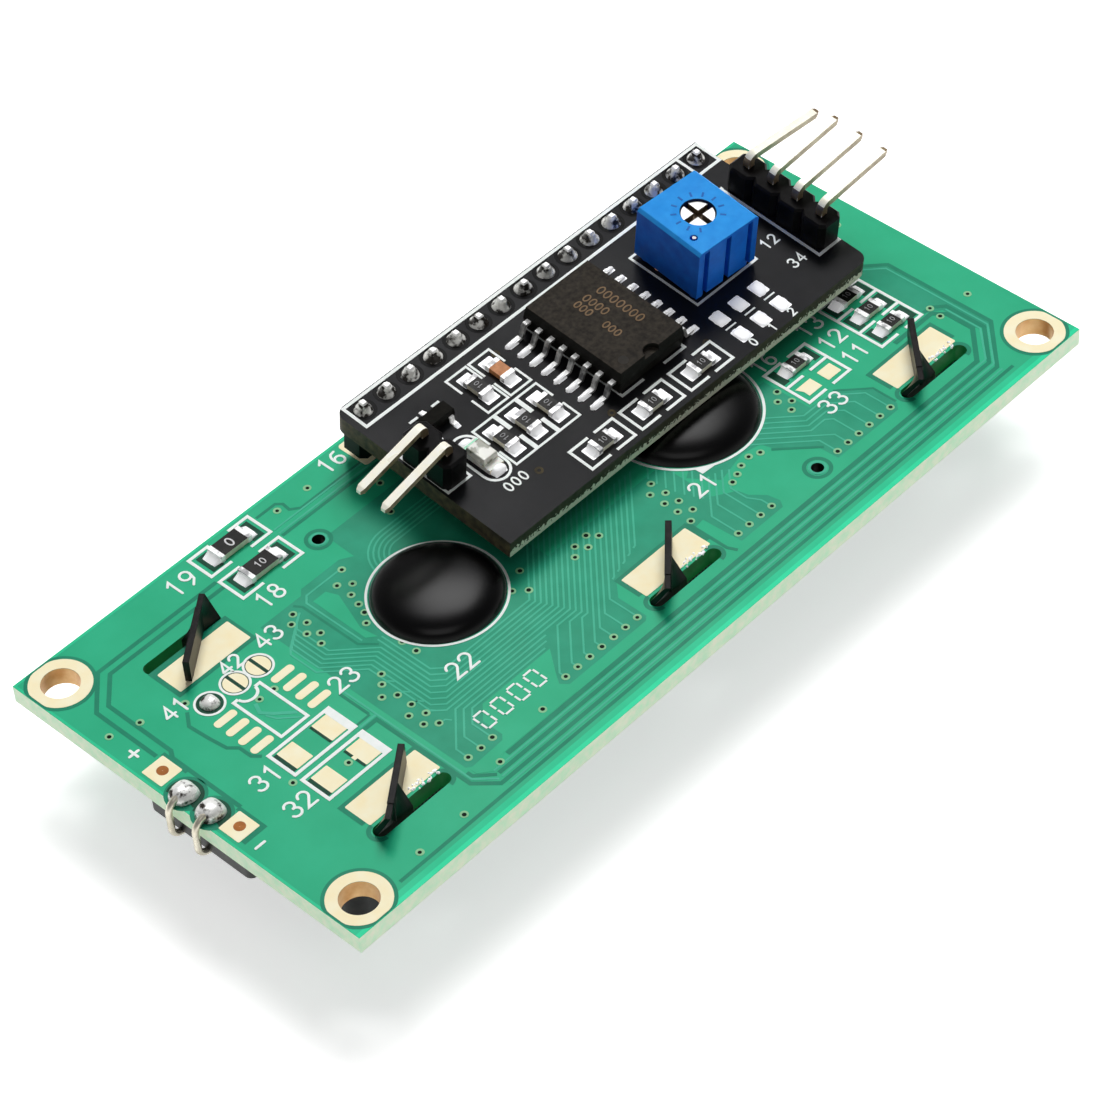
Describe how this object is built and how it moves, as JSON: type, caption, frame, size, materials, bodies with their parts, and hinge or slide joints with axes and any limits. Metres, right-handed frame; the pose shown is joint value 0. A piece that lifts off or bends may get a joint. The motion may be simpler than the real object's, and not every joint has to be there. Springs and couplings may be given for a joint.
{
  "type": "character display module",
  "caption": "Character display module lying on its bezel, with a green back board, twisted bezel tabs, epoxy domes and a black serial adapter board on a pin strip.",
  "frame": {"origin": "centre of the four mounting holes, on the back face of the display board", "axes": "+X along the display board, +Y towards its edge with the pin strip, +Z out of its back, away from the bezel"},
  "size_m": [0.081, 0.036, 0.0184],
  "materials": {
    "board_green": "glossy solder mask",
    "board_black": "satin solder mask",
    "black_steel": "satin black",
    "dark_film": "glossy",
    "grey_film": "satin",
    "cell_glass": "clear",
    "grey_rubber": "matte",
    "guide_acrylic": "clear",
    "white_plastic": "matte",
    "tinned_wire": "bright tin",
    "solder": "bright solder",
    "black_epoxy": "glossy",
    "header_plastic": "satin",
    "pin_metal": "plated",
    "chip_plastic": "matte",
    "lead_metal": "matte tin",
    "lamp_clear": "clear",
    "blue_plastic": "satin",
    "rotor_metal": "satin plated",
    "resistor_ceramic": "glossy top",
    "capacitor_ceramic": "satin"
  },
  "bodies": {
    "module": {"lcd_board": "board_green", "bezel_frame": "black_steel", "front_polarizer": "dark_film", "front_glass": "cell_glass", "rear_glass": "cell_glass", "rear_polarizer": "grey_film", "contact_strip_far": "grey_rubber", "contact_strip_near": "grey_rubber", "backlight_guide": "guide_acrylic", "backlight_frame": "white_plastic", "led_carrier": "board_black", "backlight_lead_1": "tinned_wire", "backlight_lead_2": "tinned_wire", "lead_joint_1": "solder", "lead_joint_2": "solder", "solder_bridge": "solder", "epoxy_dome_left": "black_epoxy", "epoxy_dome_right": "black_epoxy", "strip_body": "header_plastic", "strip_pins": "pin_metal", "strip_joints": "solder", "front_joints": "solder", "adapter_board": "board_black", "chip_body": "chip_plastic", "chip_leads": "lead_metal", "transistor_body": "chip_plastic", "transistor_leads": "lead_metal", "lamp_base": "white_plastic", "lamp_lens": "lamp_clear", "trimmer_body": "blue_plastic", "trimmer_pins": "pin_metal", "output_strip": "header_plastic", "output_pins": "pin_metal", "output_joints": "solder", "link_strip": "header_plastic", "link_pins": "pin_metal", "link_joints": "solder", "adapter_capacitor": "capacitor_ceramic", "display_resistor_1": "resistor_ceramic", "display_resistor_2": "resistor_ceramic", "display_resistor_3": "resistor_ceramic", "display_resistor_4": "resistor_ceramic", "display_resistor_5": "resistor_ceramic", "display_resistor_6": "resistor_ceramic", "adapter_resistor_1": "resistor_ceramic", "adapter_resistor_2": "resistor_ceramic", "adapter_resistor_3": "resistor_ceramic", "adapter_resistor_4": "resistor_ceramic", "adapter_resistor_5": "resistor_ceramic", "adapter_resistor_6": "resistor_ceramic", "adapter_resistor_7": "resistor_ceramic"},
    "trimmer_rotor": {"trimmer_rotor": "rotor_metal"}
  },
  "joints": [
    {"name": "trimmer_turn", "type": "hinge", "parent": "module", "child": "trimmer_rotor", "pos_m": [0.02345, 0.00694, 0.00942], "axis": [0, -0.117, 0.9931], "range_deg": [-130, 130]}
  ]
}
